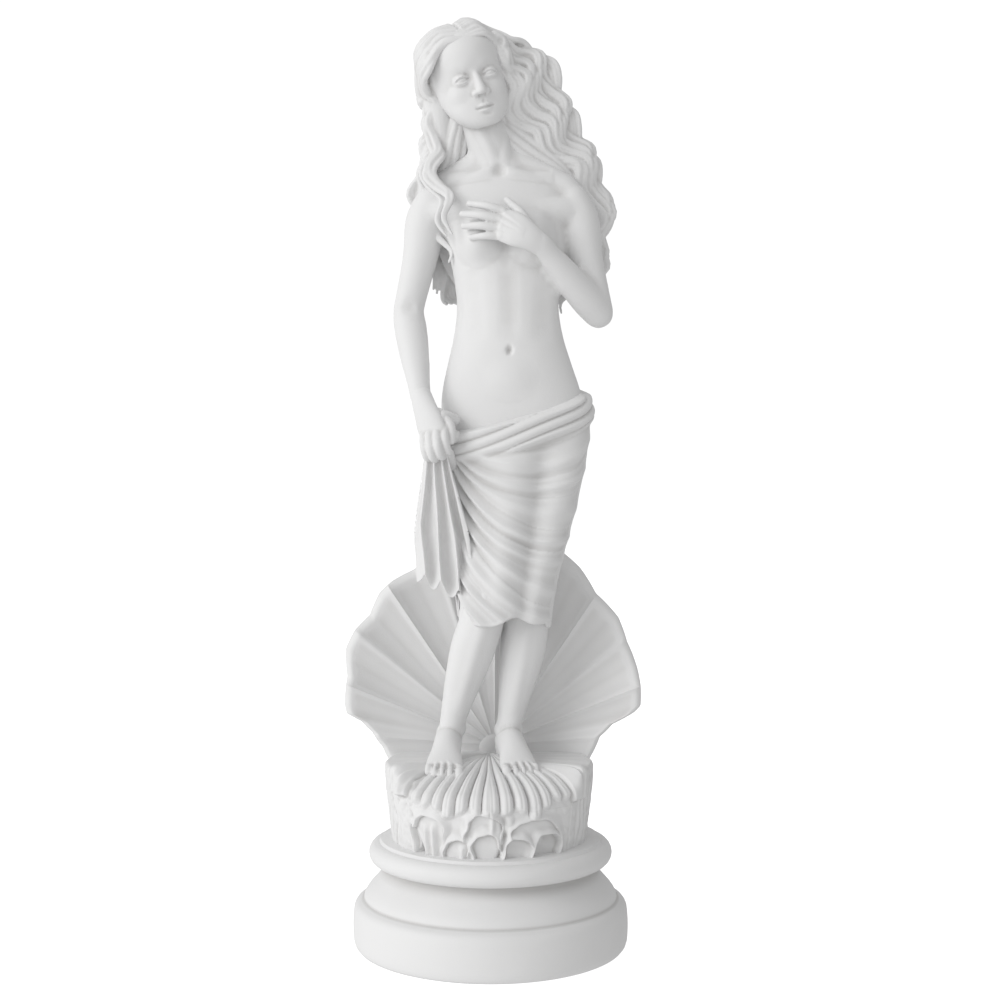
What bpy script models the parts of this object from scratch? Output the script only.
# Statuette of Aphrodite standing on a scallop shell, cast in one piece in white resin.
# Metres, +Z up, the front faces -Y and her left is +X.
# The origin is the centre of the flat underside of the turned base.

import math

import bmesh
import bpy
import numpy as np
from mathutils import Matrix, Vector

# Turned base
footRadius = 0.0443
footHeight = 0.0150
footEdge = 0.0018
footShoulder = 0.0030
creaseDepth = 0.0034
neckRadius = 0.0342
ringRadius = 0.0392
ringThickness = 0.0064
plateRadius = 0.0356
plateStep = 0.0010
baseHeight = 0.0345

# Collar of foam between the base and the shells
collarFoot = 0.0302
collarRadius = 0.0335
collarHeight = 0.0245
foamThickness = 0.0022
foamWaves = 24

# Fluted shell under the feet
trayReach = 0.0355
trayDroop = 0.0096
trayCrown = 0.0032
trayRibs = 17
trayRibWidth = 0.0046

# Upright shell behind the legs
shellReach = 0.0674
shellRise = 0.0035
shellThickness = 0.0026
shellSetBack = 0.0160
shellRibs = 9
shellRibHeight = 0.0030
shellBowl = 0.0120

# Standing figure, from her soles to the top of her hair
figureHeight = 0.2405

# How finely the casting is faceted
castVoxel = 0.00085
castTriangles = 5900
turnedSides = 48

topOfBase = baseHeight
topOfCollar = topOfBase + collarHeight
# The figure is drawn 241 parts tall, so every length on it is a share of its own height
part = figureHeight / 241
sink = 0.0015
shellRoot = collarRadius - 0.0045
shellSpread = math.radians(104)
shellCorner = math.radians(78)
shellRibTurn = 2 * shellCorner / shellRibs


def smoothRows(rows, steps):
    # a smooth run of rows through the given ones
    rows = [np.array(row, float) for row in rows]
    padded = [2 * rows[0] - rows[1]] + rows + [2 * rows[-1] - rows[-2]]
    run = []
    for a, b, c, d in zip(padded, padded[1:], padded[2:], padded[3:]):
        for k in range(steps):
            t = k / steps
            bend = (2 * a - 5 * b + 4 * c - d) * t * t + (3 * b - 3 * c + d - a) * t ** 3
            run.append(0.5 * (2 * b + (c - a) * t + bend))
    run.append(rows[-1])
    return run


def addRolledGrid(bm, rings):
    # a closed body: a grid rolled into a tube through the rings, with its ends filled
    around, last = len(rings[0]), len(rings) - 1
    grid = bmesh.ops.create_grid(bm, x_segments=around, y_segments=last, size=1.0)["verts"]
    for vert in grid:
        column = round((vert.co.x + 1) / 2 * around) % around
        vert.co = rings[round((vert.co.y + 1) / 2 * last)][column]
    bmesh.ops.remove_doubles(bm, verts=grid, dist=1e-7)
    open_ends = {e for v in grid if v.is_valid for e in v.link_edges if len(e.link_faces) == 1}
    bmesh.ops.holes_fill(bm, edges=list(open_ends), sides=0)


def addLoft(bm, rows, sides=20, steps=4, level=False, facing=(0, -1, 0), roundEnds=True, place=None):
    # rows hold x, y, z, half width, depth in front and depth behind
    rows = smoothRows(rows, steps)
    centres = [Vector(row[:3]) for row in rows]
    last = len(rows) - 1
    frames = []
    for i, row in enumerate(rows):
        along = (centres[min(i + 1, last)] - centres[max(i - 1, 0)]).normalized()
        if level:
            along = Vector((0, 0, 1))
        front = (Vector(facing) - along * along.dot(Vector(facing))).normalized()
        frames.append((centres[i], along, front, row[3:6]))
    if roundEnds:
        for end, sign in ((0, -1), (-1, 1)):
            centre, along, front, size = frames[end]
            caps = []
            for k in (1, 2, 3):
                lift, shrink = math.sin(k * 0.49), math.cos(k * 0.49)
                caps.append((centre + along * sign * min(size) * lift, along, front, size * shrink))
            frames = caps[::-1] + frames if end == 0 else frames + caps
    rings = []
    for centre, along, front, size in frames:
        side = along.cross(front)
        ring = []
        for k in range(sides):
            a = 2 * math.pi * k / sides
            depth = size[1] if math.sin(a) > 0 else size[2]
            ring.append(centre + side * (math.cos(a) * size[0]) + front * (math.sin(a) * depth))
        rings.append([place @ p for p in ring] if place else ring)
    addRolledGrid(bm, rings)


def addTube(bm, points, radii, sides=10, steps=4, place=None, flat=1.0, facing=(0, -1, 0)):
    rows = [(*p, r, r * flat, r * flat) for p, r in zip(points, radii)]
    addLoft(bm, rows, sides=sides, steps=steps, place=place, facing=facing)


def addBall(bm, centre, radii, place=None):
    made = bmesh.ops.create_uvsphere(bm, u_segments=18, v_segments=12, radius=1.0)["verts"]
    ball = Matrix.Translation(Vector(centre)) @ Matrix.Diagonal((*radii, 1.0))
    bmesh.ops.transform(bm, matrix=place @ ball if place else ball, verts=made)


def addSheet(bm, surface, columns, rows, thickness, away):
    # a thick sheet over surface(across, down), both from 0 to 1, with a rounded far edge
    rings = []
    for i in range(columns + 1):
        u = i / columns
        front = [surface(u, j / rows) for j in range(rows + 1)]
        back = [p + away * thickness for p in front]
        beyond = (front[-1] - front[-2]).normalized() * thickness * 0.35
        edge = (front[-1] + back[-1]) / 2 + beyond
        rings.append([(front[0] + back[0]) / 2] + front + [edge] + back[::-1])
    addRolledGrid(bm, rings)


def evaluated(obj):
    graph = bpy.context.evaluated_depsgraph_get()
    mesh = bpy.data.meshes.new_from_object(obj.evaluated_get(graph))
    bpy.data.objects.remove(obj)
    return mesh


def meshOf(bm, others=()):
    for other in others:
        bm.from_mesh(other)
    mesh = bpy.data.meshes.new("clay")
    bm.to_mesh(mesh)
    bm.free()
    return mesh


def objectOf(mesh):
    obj = bpy.data.objects.new("clay", mesh)
    bpy.context.scene.collection.objects.link(obj)
    return obj


def fused(mesh, voxel, softening):
    # one skin round everything in the mesh, softened a little
    obj = objectOf(mesh)
    skin = obj.modifiers.new("skin", "REMESH")
    skin.mode = "VOXEL"
    skin.voxel_size = voxel
    soft = obj.modifiers.new("soft", "SMOOTH")
    soft.factor = 0.5
    soft.iterations = softening
    return evaluated(obj)


class Clay:
    # moves the points of a fine mesh as a modelling tool would
    def __init__(self, mesh):
        self.mesh = mesh
        self.points = np.zeros(len(mesh.vertices) * 3)
        mesh.vertices.foreach_get("co", self.points)
        self.points = self.points.reshape(-1, 3)
        self.settle()

    def settle(self):
        self.mesh.vertices.foreach_set("co", self.points.ravel())
        self.mesh.update()
        normals = np.zeros(len(self.points) * 3)
        self.mesh.vertices.foreach_get("normal", normals)
        self.normals = normals.reshape(-1, 3)

    def push(self, near, fall, height, direction):
        way = self.normals[near] if direction is None else np.array(direction, float)
        self.points[near] += way * (fall * height)[:, None]

    def dab(self, centre, radius, height, direction=None):
        radius = np.array(radius, float) * np.ones(3)
        gap = (((self.points - np.array(centre, float)) / radius) ** 2).sum(1)
        near = np.flatnonzero(gap < 1)
        self.push(near, (1 - gap[near]) ** 2, height, direction)

    def stroke(self, path, radius, height, direction=None):
        line = np.array(smoothRows(path, 5))
        low, high = line.min(0) - radius, line.max(0) + radius
        near = np.flatnonzero(np.all((self.points > low) & (self.points < high), axis=1))
        if not len(near):
            return
        points = self.points[near]
        best = np.full(len(points), 4 * radius)
        place = np.zeros(len(points))
        for i, (a, b) in enumerate(zip(line, line[1:])):
            run = b - a
            t = np.clip((points - a) @ run / (run @ run), 0, 1)
            gap = np.linalg.norm(points - a - t[:, None] * run, axis=1)
            place = np.where(gap < best, (i + t) / (len(line) - 1), place)
            best = np.minimum(gap, best)
        fall = np.clip(1 - (best / radius) ** 2, 0, 1) ** 2
        ends = np.clip(np.minimum(place, 1 - place) / 0.25, 0, 1) ** 0.5
        self.push(near, fall * ends, height, direction)


# Points of the figure, in parts of its height
shoulderR, elbowR, wristR = (-18.8, 1.6, 181.0), (-27.0, 4.4, 146.0), (-22.2, -9.0, 117.0)
shoulderL, elbowL, wristL = (26.4, 1.6, 181.5), (35.2, 2.4, 145.0), (15.6, -14.2, 164.5)
headCentre = (-4.4, -2.2, 221.0)
headTurn = (Matrix.Rotation(math.radians(-19), 4, "Y") @ Matrix.Rotation(math.radians(9), 4, "Z")
            @ Matrix.Rotation(math.radians(15), 4, "X"))
headPlace = Matrix.Translation(Vector(headCentre)) @ headTurn


def between(a, b, t):
    return tuple(np.array(a) * (1 - t) + np.array(b) * t)


def addTorso(bm):
    addLoft(bm, [
        (7.0, 0.5, 93, 18.0, 8.0, 9.0), (7.2, 0.5, 101, 21.8, 9.6, 12.2),
        (7.2, 0.5, 110, 23.4, 10.8, 13.6),
        (6.8, 0.2, 119, 22.6, 11.2, 12.4), (6.2, -0.3, 128, 20.2, 11.2, 10.0),
        (5.8, -0.6, 137, 17.8, 10.6, 8.4), (5.6, -0.6, 146, 16.6, 9.8, 8.0),
        (5.4, -0.4, 155, 17.2, 9.6, 8.8), (5.2, 0.0, 164, 18.8, 10.0, 10.0),
        (4.8, 0.4, 173, 20.4, 10.2, 10.6), (4.4, 0.8, 180, 21.4, 9.2, 10.4),
        (3.9, 1.4, 185.5, 20.0, 7.8, 9.0), (3.2, 1.8, 190, 14.0, 6.8, 8.0),
        (2.4, 1.9, 194, 8.4, 6.2, 7.2)], sides=36, level=True)
    # slopes from the neck, and the muscles before and behind each armpit
    for side, neck in ((-1, 1.5), (1, 3.0)):
        middle = 3.8 + 22.4 * side
        addTube(bm, [(neck, 2.8, 198), (3.2 + 10.3 * side, 2.4, 190.5), (3.8 + 20.3 * side, 1.8, 184.9)],
                (4.5, 5.6, 5.4), sides=16)
        inner, outer = middle - 3 * side, middle + 2 * side
        before = [(4.5 + 10.5 * side, -3.6, 177.6), (inner, -1.8, 177.4), (outer, -0.2, 177)]
        behind = [(4.8 + 11.8 * side, 4.4, 170), (inner, 4.0, 174), (outer, 3.0, 177)]
        addTube(bm, before, (4.4, 4.8, 4.0), sides=16)
        addTube(bm, behind, (4.6, 4.8, 4.0), sides=16)
    addLoft(bm, [
        (2.6, 2.4, 187, 9.2, 7.6, 8.2), (1.8, 1.8, 194, 7.6, 6.6, 7.0), (0.4, 1.0, 201, 6.9, 6.6, 6.8),
        (-1.4, 0.8, 209, 7.0, 7.0, 7.0), (-2.8, 1.2, 216, 7.0, 7.0, 7.0)], sides=24)


def addLegs(bm):
    # her left leg bears the weight, and her right knee comes forward and in
    addLoft(bm, [
        (16.6, 0.8, 112, 12.0, 10.0, 12.4), (17.2, 0.6, 100, 12.9, 11.2, 12.8),
        (16.6, 0.2, 86, 11.8, 11.0, 11.4), (15.0, -0.2, 72, 9.8, 9.8, 9.6),
        (13.6, -0.4, 60, 8.2, 8.4, 8.0), (12.8, -0.4, 53, 7.7, 8.3, 7.4),
        (11.8, 0.4, 46, 7.3, 7.0, 7.4), (10.6, 1.4, 37, 7.5, 6.4, 8.6), (8.8, 2.2, 26, 6.2, 5.4, 7.2),
        (6.8, 3.0, 15, 4.5, 4.4, 5.2), (5.8, 3.4, 8, 4.1, 4.2, 5.0), (5.4, 3.6, 3, 4.1, 4.2, 5.0)],
        sides=24)
    addLoft(bm, [
        (-2.0, 0.2, 110, 12.0, 10.0, 12.4), (-2.4, -0.6, 98, 12.2, 11.2, 12.2),
        (-1.6, -2.2, 84, 11.4, 10.8, 11.0), (-0.8, -4.4, 70, 9.6, 9.4, 9.4),
        (-0.8, -6.4, 59, 8.1, 8.2, 7.8), (-1.4, -7.2, 52, 7.6, 8.1, 7.2), (-3.0, -5.8, 45, 7.2, 6.8, 7.4),
        (-5.8, -3.6, 36, 7.3, 6.2, 8.2), (-9.0, -0.8, 25, 6.0, 5.3, 6.8), (-11.8, 1.6, 14.5, 4.5, 4.4, 5.2),
        (-13.0, 2.6, 8, 4.1, 4.2, 5.0), (-13.4, 3.0, 3, 4.1, 4.2, 5.0)], sides=24)


def addArms(bm):
    for shoulder, elbow, wrist in ((shoulderR, elbowR, wristR), (shoulderL, elbowL, wristL)):
        out = -0.6 if shoulder[0] < 0 else 0.6
        full = between(shoulder, elbow, 0.2)
        addLoft(bm, [
            (*between(shoulder, elbow, 0.02), 6.2, 6.6, 6.6),
            (full[0] + out, full[1], full[2], 6.9, 7.1, 7.1),
            (*between(shoulder, elbow, 0.5), 5.8, 6.2, 6.2),
            (*between(shoulder, elbow, 0.8), 5.2, 5.4, 5.4),
            (*elbow, 5.0, 5.0, 5.2)], sides=20)
        addLoft(bm, [
            (*elbow, 5.0, 5.0, 5.0), (*between(elbow, wrist, 0.22), 5.4, 5.3, 5.3),
            (*between(elbow, wrist, 0.55), 4.8, 4.6, 4.6), (*between(elbow, wrist, 0.85), 3.8, 3.5, 3.5),
            (*wrist, 3.6, 3.1, 3.1)], sides=20)


def modelBody(clay):
    # chest
    for x, lean in ((-4.2, -0.12), (13.6, 0.12)):
        clay.dab((x, -9.5, 167.5), (9.4, 9.5, 10.0), 5.4, direction=(lean, -1, -0.05))
    clay.settle()
    clay.dab((4.7, -9.5, 169), (3.4, 6, 13), -0.7)
    # belly, navel, collar bones and the pit of the neck
    clay.stroke([(5.4, -10, 162), (5.8, -10.5, 148), (6.0, -11, 134)], 4.5, -0.45)
    clay.dab((6.0, -11.3, 131.5), (1.7, 3.0, 2.4), -1.5)
    clay.stroke([(0.6, -5.5, 189.5), (-6, -5.2, 188.4), (-14.5, -3.6, 187.4)], 2.8, 0.7)
    clay.stroke([(5.0, -5.5, 189.5), (11.5, -5.2, 188.8), (20.5, -3.6, 187.8)], 2.8, 0.7)
    clay.dab((2.8, -6.2, 190.0), (3.0, 4, 3.2), -1.1)
    clay.stroke([(1.8, -5.4, 191.5), (-2.2, -5.6, 200), (-6.4, -2.4, 208)], 2.6, 0.5)
    clay.stroke([(4.0, -5.4, 191.5), (6.2, -3.6, 200), (5.6, 0.4, 209)], 2.6, 0.5)
    # spine
    clay.stroke([(4.6, 11, 176), (5.6, 10, 160), (5.8, 8.5, 142), (6.4, 10, 126)], 5.0, -1.1)
    # knees and shins
    for x, y in ((-1.4, -14.6), (12.8, -8.4)):
        clay.dab((x, y, 53.5), (4.2, 4, 5.2), 0.9)
        clay.dab((x, y, 46.6), (3.6, 4, 3.0), -0.4)
    clay.stroke([(-1.6, -13, 47), (-5.4, -9.6, 34), (-10.6, -3.4, 15)], 3.0, 0.45)
    clay.stroke([(12.4, -7.6, 47), (10.4, -5.2, 34), (6.8, -1.6, 15)], 3.0, 0.45)
    # ankle bones
    for x, y, z in ((-17.0, 3.0, 8.6), (-9.2, 2.4, 9.6), (1.8, 3.6, 9.6), (9.8, 3.8, 8.6)):
        clay.dab((x, y, z), 2.8, 0.6)
    clay.settle()


def addFoot(bm, heel, turn, side):
    place = (Matrix.Translation(Vector(heel)) @ Matrix.Rotation(math.radians(turn), 4, "Z")
             @ Matrix.Rotation(math.radians(13), 4, "X"))
    addLoft(bm, [
        (0, 0.5, 2.6, 3.6, 2.9, 2.6), (0, -2.0, 3.4, 3.9, 4.2, 3.2), (0.0, -6.0, 3.6, 3.9, 5.2, 3.4),
        (0.2 * side, -10.5, 2.8, 4.2, 4.4, 2.6), (0.3 * side, -15, 2.0, 4.9, 3.0, 1.9),
        (0.3 * side, -19, 1.5, 5.1, 2.0, 1.5), (0.2 * side, -21.6, 1.3, 4.6, 1.4, 1.2)],
        sides=20, place=place, facing=(0, 0, 1))
    # the great toe lies on the inner side
    sizes = (1.45, 1.15, 1.08, 1.0, 0.9)
    reaches = (-26.2, -26.3, -25.4, -24.2, -22.6)
    for k, (size, reach) in enumerate(zip(sizes, reaches)):
        x = (-3.6 + k * 1.85) * side
        addTube(bm, [(x * 0.96, -20.4, 1.6), (x, reach + 2.6, 1.9), (x, reach + 0.9, 1.3)],
                (size, size * 0.92, size * 1.02), sides=12, place=place)


def addRestingHand(bm):
    # her left hand, laid on her breast
    addLoft(bm, [
        (16.2, -13.8, 164.2, 3.6, 3.0, 3.0), (12.6, -16.0, 166.2, 4.2, 2.5, 2.5),
        (8.6, -16.6, 168.2, 5.2, 2.2, 2.3), (4.6, -15.8, 170.0, 5.2, 1.9, 2.0),
        (2.4, -15.0, 171.0, 4.6, 1.7, 1.8)], sides=20)
    knuckles = ((4.2, -15.2, 174.6), (3.0, -15.8, 171.9), (2.6, -15.6, 169.2), (3.0, -15.0, 166.6))
    tips = ((-6.6, -13.2, 177.4), (-8.8, -13.8, 174.0), (-8.4, -14.0, 170.2), (-6.2, -13.8, 166.6))
    for knuckle, tip, size in zip(knuckles, tips, (1.45, 1.5, 1.42, 1.25)):
        bend = Vector(between(knuckle, tip, 0.48)) + Vector((0, -1.3, 0.2))
        addTube(bm, [knuckle, tuple(bend), tip], (size, size * 0.96, size * 0.8), sides=12)
    thumb = [(12.4, -15.6, 169.0), (9.4, -14.4, 174.2), (5.2, -12.4, 178.6)]
    addTube(bm, thumb, (1.9, 1.6, 1.2), sides=12)


def addHoldingHand(bm):
    # her right hand, closed on the cloth at her hip
    addLoft(bm, [
        (-22.0, -9.4, 117.0, 3.5, 3.0, 3.0), (-20.6, -11.4, 112.6, 4.1, 2.6, 2.6),
        (-19.2, -13.0, 108.6, 4.7, 2.5, 2.4), (-18.0, -14.2, 105.0, 4.8, 2.3, 2.0)],
        sides=20, facing=(-0.5, -1, 0))
    knuckles = ((-14.6, -15.6, 105.6), (-16.9, -16.4, 104.2), (-19.2, -16.0, 103.4), (-21.2, -14.6, 103.4))
    for (x, y, z), size in zip(knuckles, (1.55, 1.6, 1.5, 1.3)):
        addTube(bm, [(x, y + 0.6, z + 1.0), (x + 0.3, y - 1.2, z - 3.0), (x + 1.2, y + 0.2, z - 6.2),
                     (x + 2.0, y + 2.4, z - 6.6)], (size, size, size * 0.92, size * 0.8), sides=12)
    thumb = [(-16.4, -11.6, 111.4), (-12.8, -14.2, 107.4), (-12.2, -15.2, 102.6)]
    addTube(bm, thumb, (1.9, 1.7, 1.3), sides=12)


def addHead(bm):
    addLoft(bm, [
        (0, -7.4, -16.2, 3.4, 3.8, 3.0), (0, -6.8, -15.0, 5.4, 5.2, 5.0), (0, -5.3, -12.6, 7.5, 6.9, 7.5),
        (0, -3.4, -9.6, 9.0, 8.6, 10), (0, -1.4, -6, 10.0, 10.4, 11.5), (0, 0.2, -2, 10.5, 11.4, 12.8),
        (0, 0.8, 2, 10.9, 12.3, 13.4), (0, 1.2, 6, 11.1, 13.0, 13.6), (0, 1.6, 10, 10.5, 12.4, 13),
        (0, 2.0, 13.4, 8.6, 10.0, 10.8), (0, 2.0, 15.7, 5.2, 6.0, 6.8), (0, 2.0, 16.5, 1.8, 2.0, 2.2)],
        sides=32, level=True, place=headPlace, roundEnds=False)
    # nose
    addLoft(bm, [
        (0, -10.0, 3.4, 1.3, 1.5, 2), (0, -10.0, 1.0, 1.2, 1.6, 2), (0, -10.9, -1.6, 1.3, 1.9, 2),
        (0, -11.9, -4.1, 1.75, 2.3, 2.4), (0, -12.1, -5.5, 1.9, 2.2, 2.2), (0, -11.8, -6.4, 1.5, 1.3, 2.0)],
        sides=16, level=True, place=headPlace)
    for side in (-1, 1):
        addBall(bm, (1.75 * side, -11.4, -5.4), (1.15, 1.8, 1.15), place=headPlace)
        addBall(bm, (4.5 * side, -8.7, -0.5), (2.5, 2.5, 2.3), place=headPlace)
    # mouth and chin
    addBall(bm, (0, -10.2, -9.4), (3.8, 1.9, 2.8), place=headPlace)
    addBall(bm, (0, -9.6, -13.8), (3.4, 2.4, 2.4), place=headPlace)
    for reach, height, out, size in ((3.0, -9.1, -12.2, 0.75), (2.5, -10.5, -11.9, 0.85)):
        corner = (height - 9.9) / 2
        lip = [(-reach, out + 1.0, corner), (0, out - 0.1, height), (reach, out + 1.0, corner)]
        addTube(bm, lip, (0.35, size, 0.35), sides=12, place=headPlace)


# Cloth wrapped round the hips: x, y, z, half width, depth in front and behind
wrapRows = (
    (4.6, -1.6, 44, 14.6, 13.4, 10.4), (4.6, -1.8, 52, 15.6, 14.2, 11.0), (5.0, -1.6, 60, 16.8, 13.8, 11.6),
    (5.8, -1.2, 70, 18.6, 13.4, 12.6), (6.6, -0.8, 82, 21.0, 13.2, 14.2), (7.0, -0.2, 94, 23.4, 13.0, 16.2),
    (7.2, 0.4, 104, 24.8, 13.0, 17.0), (7.2, 0.5, 112, 24.9, 12.6, 16.2), (6.9, 0.3, 119, 23.6, 12.0, 14.0))
wrapFine = np.array(smoothRows(wrapRows, 6))


def onWrap(angle, height, lift=0.0):
    # angle is 0 in front, 90 at her left and 180 behind
    x, y, _, half, front, back = (np.interp(height, wrapFine[:, 2], wrapFine[:, k]) for k in range(6))
    across, ahead = math.sin(math.radians(angle)), -math.cos(math.radians(angle))
    depth = front if ahead < 0 else back
    return (x + across * (half + lift), y + ahead * (depth + lift), height)


def addWrap(bm):
    addLoft(bm, wrapRows, sides=40, level=True, roundEnds=False)
    # the rolled edge, low at the hand and high on the far hip
    edge = [(a, 113.5 - 7.5 * math.cos(math.radians((a + 62) * 180 / 187))) for a in range(-62, 293, 25)]
    for drop, inset, size in ((0, -0.4, 2.4), (4.2, -1.0, 2.0)):
        run = [onWrap(a, z - drop, inset) for a, z in edge]
        addTube(bm, run, [size * 0.8] + [size] * (len(run) - 2) + [size * 0.8], steps=3, sides=12)
    # folds swinging from the hand to the far hip, each lower and longer than the last
    folds = 7
    for k in range(folds):
        t = k / (folds - 1)
        start, end = -58 + 8 * t, 84 - 112 * t ** 2.2
        high, low, sag = 104 - 8 * t, 113 - 67 * t ** 0.8, 7 + 7 * math.sin(math.pi * t)
        run = []
        for s in (0, 0.25, 0.5, 0.75, 1):
            height = high * (1 - s) + low * s - sag * math.sin(math.pi * s)
            run.append(onWrap(start * (1 - s) + end * s, max(height, wrapRows[0][2] + 1), -0.1))
        addTube(bm, run, (1.3, 2.0 + 0.6 * t, 2.1 + 0.7 * t, 2.0 + 0.6 * t, 1.0), sides=12)
    # folds falling from the far hip and down the back
    for k in range(11):
        angle = 62 + 21.4 * k
        top, low = 113 - 0.0011 * (angle - 170) ** 2, wrapRows[0][2] + 1
        lean = 5 * math.sin(k * 1.9)
        run = []
        for s in (0, 0.35, 0.7, 1):
            run.append(onWrap(angle + lean * s, top * (1 - s) + low * s, -0.9 + 1.3 * s ** 0.5))
        addTube(bm, run, (1.0, 1.9, 2.3, 2.5), sides=12)
    # the gather in her hand
    addBall(bm, (-17.4, -13.2, 104.0), (4.2, 3.4, 4.4))
    addTube(bm, [(-17.0, -12.4, 107), (-15.8, -11.2, 111), (-13.0, -9.4, 113)], (3.0, 2.6, 1.6), sides=12)


def cascade(across, down):
    # pleats hanging from the hand in a zigzag hem
    pleats = 3.5
    wave = math.cos(2 * math.pi * pleats * across)
    half = 2.8 + 4.8 * min(1, down * 2.2) + 0.8 * down
    slant = 0.9 * down * math.sin(2 * math.pi * pleats * across)
    x = -17.4 + 2.2 * down + (across - 0.5) * 2 * half + slant
    y = -14.2 + 1.6 * down + 12 * (across - 0.6) ** 2 * down + (0.8 + 1.1 * down) * wave
    hem = 49 + 5.0 * (0.5 - 0.5 * wave) + 9.0 * (1 - across)
    return Vector((x, y, 101 * (1 - down) + hem * down))


# Hair: points over the head (turn from the brow, height, in degrees) for five guide locks
crownGuides = (
    ((5, 38), (32, 36), (56, 17), (74, -6), (92, -26)),
    ((8, 58), (50, 54), (76, 30), (94, 2), (108, -24)),
    ((40, 80), (88, 62), (106, 36), (116, 6), (126, -26)),
    ((150, 80), (130, 60), (134, 36), (140, 6), (146, -26)),
    ((176, 66), (168, 46), (164, 26), (166, 2), (168, -26)))
# and the points that each one goes on through, down her right side and down her left
rightTails = (
    ((-15.4, -1.6, 203), (-17.6, -4.8, 196), (-17.4, -8.6, 188.5),
     (-15.2, -11.4, 181), (-12.6, -12.6, 173), (-12.0, -12.6, 165)),
    ((-16.6, 2.8, 203), (-20.6, 3.6, 195.5), (-23.6, 7.6, 186),
     (-23.4, 10.0, 174), (-20.4, 11.0, 161), (-16.4, 10.8, 151)),
    ((-12.0, 8.0, 203), (-15.0, 11.0, 194), (-17.6, 13.2, 183),
     (-17.2, 13.8, 169), (-13.6, 13.0, 155), (-9.4, 11.6, 145)),
    ((-7.0, 10.4, 203), (-8.4, 13.6, 194), (-9.4, 15.4, 183),
     (-9.0, 15.2, 169), (-6.4, 13.8, 154), (-3.4, 12.0, 142)),
    ((-0.5, 11.4, 203), (-0.2, 14.6, 194), (0.4, 16.4, 183),
     (1.0, 16.0, 169), (1.8, 14.4, 153), (2.6, 12.4, 140)))
leftTails = (
    ((11.6, 1.0, 206.5), (15.4, 0.8, 199.5), (21.0, 1.4, 194.0),
     (28.6, 4.2, 189.5), (35.0, 8.2, 181), (35.6, 10.2, 168), (31.0, 10.6, 154)),
    ((16.4, 3.4, 214), (23.6, 4.4, 208), (30.0, 6.6, 200),
     (35.8, 9.2, 189.5), (39.4, 11.0, 177), (38.4, 12.0, 163), (33.0, 11.6, 149)),
    ((13.0, 9.0, 208), (19.4, 11.6, 200), (26.0, 13.8, 189),
     (30.4, 15.2, 176), (30.0, 14.8, 162), (25.6, 13.4, 150), (21.6, 12.2, 142)),
    ((8.6, 11.2, 205), (12.6, 14.2, 196), (17.0, 16.0, 185),
     (18.8, 16.2, 172), (17.4, 15.0, 159), (14.4, 13.4, 148), (12.4, 12.0, 140)),
    ((2.8, 11.8, 203), (4.6, 14.8, 194), (5.6, 16.6, 184),
     (6.0, 16.4, 171), (5.6, 15.0, 158), (5.2, 13.4, 148), (5.4, 12.0, 139)))
tailGuides = {-1: rightTails, 1: leftTails}
scalp = ((0.0, 2.8, 3.4), (13.0, 14.4, 13.8))
lockShares = (0.0, 0.16, 0.95, 1.35, 1.85, 2.4, 2.95, 3.5)


def onScalp(turn, height, lift=0.0):
    (x, y, z), radii = scalp
    a, e = math.radians(turn), math.radians(height)
    rx, ry, rz = (r + lift for r in radii)
    point = (x + rx * math.sin(a) * math.cos(e), y - ry * math.cos(a) * math.cos(e), z + rz * math.sin(e))
    return tuple(headPlace @ Vector(point))


def addLock(bm, side, share, thickness=2.0):
    # share runs from 0, the lock beside the face, to 4, the one down the spine
    i = min(int(share), 3)
    crown = between(crownGuides[i], crownGuides[i + 1], share - i)
    tail = between(tailGuides[side][i], tailGuides[side][i + 1], share - i)
    run = [onScalp(side * a, e, 0.9) for a, e in crown] + [tuple(p) for p in tail]
    fine = np.array(smoothRows(run, 5))
    length = np.concatenate(([0], np.cumsum(np.linalg.norm(np.diff(fine, axis=0), axis=1))))
    # the way the hair faces: out from the head, then forward or back
    forward = share < 0.8 or side > 0 and share < 1.15
    face = np.array((0, -1.0 if forward else 1.0, 0))
    ways = fine - np.array(headCentre)
    ways /= np.linalg.norm(ways, axis=1)[:, None]
    down = np.clip((length - length[15]) / 14, 0, 1)[:, None]
    ways = ways * (1 - down) + face * down
    across = np.cross(np.gradient(fine, axis=0), ways)
    across /= np.linalg.norm(across, axis=1)[:, None]
    points, radii = [], []
    for p, s, aside in zip(fine, length, across):
        swing = min(1, s / 22) * math.sin(s * 2 * math.pi / 17 + 0.25 * share)
        points.append(tuple(p + aside * swing * 1.7))
        t = s / length[-1]
        radii.append(thickness * min(0.75 + 3 * t, 1.0 + 0.2 * math.sin(math.pi * t), 0.4 + 4 * (1 - t)))
    addTube(bm, points, radii, sides=8, steps=1)


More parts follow.
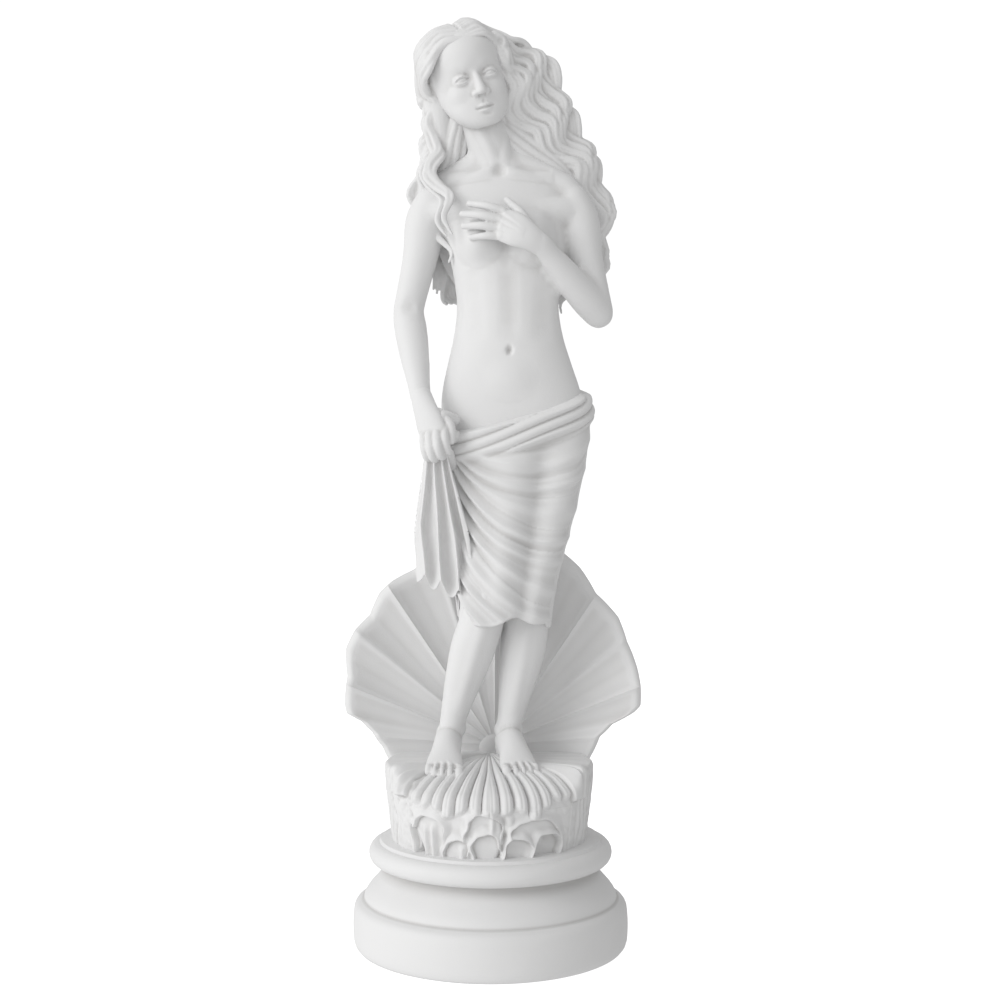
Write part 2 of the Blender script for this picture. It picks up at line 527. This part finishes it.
def addHair(bm):
    addBall(bm, (0, 3.9, 3.9), (12.6, 13.2, 13.6), place=headPlace)
    addLoft(bm, [
        (-1.4, 5.0, 212, 10.5, 5, 6.0), (-0.2, 6.4, 204, 13.0, 4, 5.0), (2.6, 8.6, 195, 18.5, 3.6, 4.4),
        (5.6, 10.2, 184, 24.0, 3.6, 3.6), (6.4, 10.8, 170, 23.0, 3.2, 3.2),
        (6.8, 10.6, 156, 17.0, 2.6, 2.4), (6.6, 9.8, 146, 9, 2, 1.8)], sides=24, level=True)
    # the mass beside her neck that the swept locks lie on
    addLoft(bm, [
        (7.0, 4.0, 213, 4.0, 3.2, 4.0), (12.4, 5.0, 208, 6.4, 3.4, 4.6), (19.0, 6.4, 201, 7.4, 3.6, 5.0),
        (26.0, 8.4, 193, 6.6, 3.2, 5.0), (32.4, 10.2, 183, 5.2, 2.6, 4.0), (34.4, 11.2, 170, 4.2, 2.0, 3.0),
        (31.0, 11.2, 158, 3.0, 1.6, 2.0)], sides=16)
    run = [onScalp(-100, -6, -3.0), *(between(p, (1.5, p[1], p[2]), 0.12) for p in rightTails[1][:4])]
    addTube(bm, [tuple(p) for p in run], (4.5, 4.8, 4.6, 3.6, 2.4), sides=16)
    for side in (-1, 1):
        for share in lockShares:
            addLock(bm, side, share)
    addLock(bm, 1, 0.5)
    addLock(bm, 1, 4.0)


def figureMesh():
    body = bmesh.new()
    addTorso(body)
    addLegs(body)
    addArms(body)
    clay = Clay(fused(meshOf(body), 0.9, 16))
    modelBody(clay)
    rest = bmesh.new()
    addHead(rest)
    addRestingHand(rest)
    addHoldingHand(rest)
    addFoot(rest, (-13.6, 6.2, 2.6), -10, -1)
    addFoot(rest, (5.6, 6.8, 2.6), 14, 1)
    addWrap(rest)
    addSheet(rest, cascade, 42, 12, 1.8, Vector((0, 1, 0)))
    addHair(rest)
    whole = meshOf(rest, [clay.mesh])
    whole.transform(Matrix.Translation((0, 0, topOfCollar)) @ Matrix.Scale(part, 4))
    return whole


def addCollar(bm):
    # a flaring drum that sinks a little into the base
    low = topOfBase - sink
    rows = []
    for k in range(6):
        t = k / 5
        radius = collarFoot + (collarRadius - collarFoot) * (3 * t * t - 2 * t ** 3)
        rows.append((0, 0, low + (topOfCollar - 0.0015 - low) * t, radius, radius, radius))
    rows.append((0, 0, topOfCollar, *[collarRadius - 0.0025] * 3))
    addLoft(bm, rows, sides=64, steps=1, level=True, roundEnds=False)


def onCollar(turn, share, lift=0.0):
    radius = collarFoot + (collarRadius - collarFoot) * share + lift
    return (radius * math.sin(turn), -radius * math.cos(turn), topOfBase + collarHeight * share)


def addFoam(bm):
    # two rows of foam loops in front
    size = foamThickness / 2
    for row, (first, count, low, high) in enumerate(((-42, 6, -0.04, 0.34), (-33, 5, 0.22, 0.60))):
        for k in range(count):
            middle, half = math.radians(first + 17 * k), math.radians(6.4)
            run = []
            for j in range(9):
                a = math.pi * j / 8
                lean = math.copysign(abs(math.cos(a)) ** 0.6, -math.cos(a))
                share = low + (high - low) * math.sin(a) ** 0.6
                run.append(onCollar(middle + half * lean, share, size * 0.5))
            addTube(bm, run, [size] * 9, sides=8, steps=1)
    # upright waves round the sides and the back
    for k in range(foamWaves):
        turn = math.radians(56 + 248 * k / (foamWaves - 1))
        run = []
        for j in range(6):
            t = j / 5
            run.append(onCollar(turn + math.radians(3) * math.sin(4 * t + 1.7 * k), 0.96 * t, size * 0.2))
        addTube(bm, run, [size * (1.2 + 0.7 * j / 5) for j in range(6)], sides=8, steps=2)


def addTray(bm):
    # ribs fan out from between the heels over a low dome, then bend down over the rim
    rise = topOfCollar - 0.0012
    half = trayRibWidth / 2
    shape = ((0.06, -1.0, 0), (0.3, -0.9, 0), (0.52, -0.45, 0), (0.72, 0, 0.04), (0.88, 0, 0.27),
             (0.98, 0, 0.58), (1.0, 0, 1.0))
    for k in range(trayRibs):
        turn = math.radians(-84 + 168 * k / (trayRibs - 1))
        across, ahead = math.sin(turn), -math.cos(turn)
        run = []
        for share, crown, droop in shape:
            reach = trayReach * share
            start = 0.0075 * (1 - share)
            height = rise - crown * trayCrown - droop * trayDroop
            run.append((reach * across, start + reach * ahead, height))
        widths = [half * w for w in (0.3, 0.6, 0.85, 1.0, 1.12, 1.1, 0.8)]
        addTube(bm, run, widths, sides=10, steps=3, facing=(0, 0, 1))


def shellRim(turn):
    # distance from the hinge to the rim; turn is 0 upright and positive to her left
    over = min(1, abs(turn) / shellCorner)
    reach = shellReach * (1 - 0.265 * over ** 1.35)
    if turn > 0:
        reach -= 0.03 * shellReach * min(1, 2.5 * over)
    # past the corner the edge runs in to the rim of the collar
    past = max(0, abs(turn) - shellCorner) / (shellSpread - shellCorner)
    return shellRoot + (reach - shellRoot) * max(0, 1 - past) ** 2.2


def shellPoint(across, out):
    turn = (2 * across - 1) * shellSpread
    # sharp ribs with sharp furrows between them, one rib at the middle of each lobe
    phase = (turn / shellRibTurn + 0.5) % 1.0
    rib = (1 - abs(2 * phase - 1)) ** 0.9
    fade = min(1, max(0, (shellCorner + 0.1 - abs(turn)) / 0.2))
    share = 0.05 + 0.95 * out
    reach = shellRim(turn) * share * (1 + 0.03 * (rib - 0.5) * fade * share ** 3)
    x = reach * math.sin(turn)
    curl = shellBowl * (x / (0.7 * shellReach)) ** 2 * share + 0.0035 * share ** 3
    y = shellSetBack - curl - shellRibHeight * (rib - 0.5) * share ** 1.1 * (0.35 + 0.65 * fade)
    return Vector((x, y, topOfCollar + shellRise + reach * math.cos(turn)))


def addHinge(bm):
    size = 0.09 * shellReach
    centre = (0, shellSetBack + shellThickness / 2, topOfCollar + shellRise / 2)
    addBall(bm, centre, (size, 0.5 * size, size))


def addUprightShell(bm):
    columns = 4 * round(2 * shellSpread / shellRibTurn)
    addSheet(bm, shellPoint, columns, 6, shellThickness, Vector((0, 1, 0)))


def arc(x, z, radius, start, end, steps):
    turns = [math.radians(start + (end - start) * k / steps) for k in range(steps + 1)]
    return [(x + radius * math.cos(a), z + radius * math.sin(a)) for a in turns]


def baseProfile():
    crease = footRadius - creaseDepth
    ringHeight = baseHeight - plateStep - ringThickness / 2
    neckTop = ringHeight - ringThickness / 2
    profile = [(0, 0)]
    profile += arc(footRadius - footEdge, footEdge, footEdge, -90, 0, 2)
    profile += arc(footRadius - footShoulder, footHeight - footShoulder, footShoulder, 0, 80, 3)
    for k in range(7):
        t = k / 6
        radius = crease + (neckRadius - crease) * (3 * t * t - 2 * t ** 3)
        profile.append((radius, footHeight + (neckTop - footHeight) * t))
    profile += arc(ringRadius - ringThickness / 2, ringHeight, ringThickness / 2, -90, 90, 5)
    profile += [(plateRadius, baseHeight - plateStep), (plateRadius, baseHeight), (0, baseHeight)]
    return profile


def addBase(bm):
    verts = [bm.verts.new((r, 0, z)) for r, z in baseProfile()]
    edges = [bm.edges.new(pair) for pair in zip(verts, verts[1:])]
    bmesh.ops.spin(bm, geom=verts + edges, cent=(0, 0, 0), axis=(0, 0, 1), angle=2 * math.pi,
                   steps=turnedSides, use_merge=True)
    bmesh.ops.remove_doubles(bm, verts=bm.verts, dist=1e-6)
    bmesh.ops.recalc_face_normals(bm, faces=bm.faces)


def largestBody(mesh):
    # drops the specks that thinning can leave beside the casting
    bm = bmesh.new()
    bm.from_mesh(mesh)
    left, bodies = set(bm.verts), []
    while left:
        body, edge = set(), {left.pop()}
        while edge:
            body |= edge
            edge = {e.other_vert(v) for v in edge for e in v.link_edges} - body
        left -= body
        bodies.append(body)
    specks = [v for body in sorted(bodies, key=len)[:-1] for v in body]
    bmesh.ops.delete(bm, geom=specks, context="VERTS")
    bm.to_mesh(mesh)
    bm.free()
    return mesh


def castMesh():
    # figure, collar and foot shell in one skin, thinned to the triangles that show the carving
    bm = bmesh.new()
    addCollar(bm)
    addFoam(bm)
    addTray(bm)
    addHinge(bm)
    obj = objectOf(fused(meshOf(bm, [figureMesh()]), castVoxel, 2))
    facets = obj.modifiers.new("facets", "TRIANGULATE")
    thin = obj.modifiers.new("thin", "DECIMATE")
    thin.ratio = castTriangles / (2 * len(obj.data.polygons))
    return largestBody(evaluated(obj))


def castResin():
    material = bpy.data.materials.new("white_cast_resin")
    material.use_nodes = True
    shader = material.node_tree.nodes["Principled BSDF"]
    shader.inputs["Base Color"].default_value = (0.86, 0.85, 0.83, 1)
    shader.inputs["Roughness"].default_value = 0.62
    shader.inputs["Metallic"].default_value = 0.0
    return material


def joined(obj, add):
    # the shape that add makes, united with obj
    bm = bmesh.new()
    add(bm)
    bmesh.ops.triangulate(bm, faces=bm.faces)
    bmesh.ops.recalc_face_normals(bm, faces=bm.faces)
    tool = objectOf(meshOf(bm))
    union = obj.modifiers.new("union", "BOOLEAN")
    union.operation = "UNION"
    union.solver = "EXACT"
    union.object = tool
    mesh = evaluated(obj)
    bpy.data.objects.remove(tool)
    return objectOf(largestBody(mesh))


def buildStatuette():
    obj = joined(objectOf(castMesh()), addUprightShell)
    obj = joined(obj, addBase)
    obj.name = "aphrodite_statuette"
    obj.data.name = "aphrodite_statuette"
    obj.data.materials.clear()
    obj.data.materials.append(castResin())
    obj.data.shade_smooth()
    obj.data.set_sharp_from_angle(angle=math.radians(40))


for old in list(bpy.data.objects):
    bpy.data.objects.remove(old)
buildStatuette()
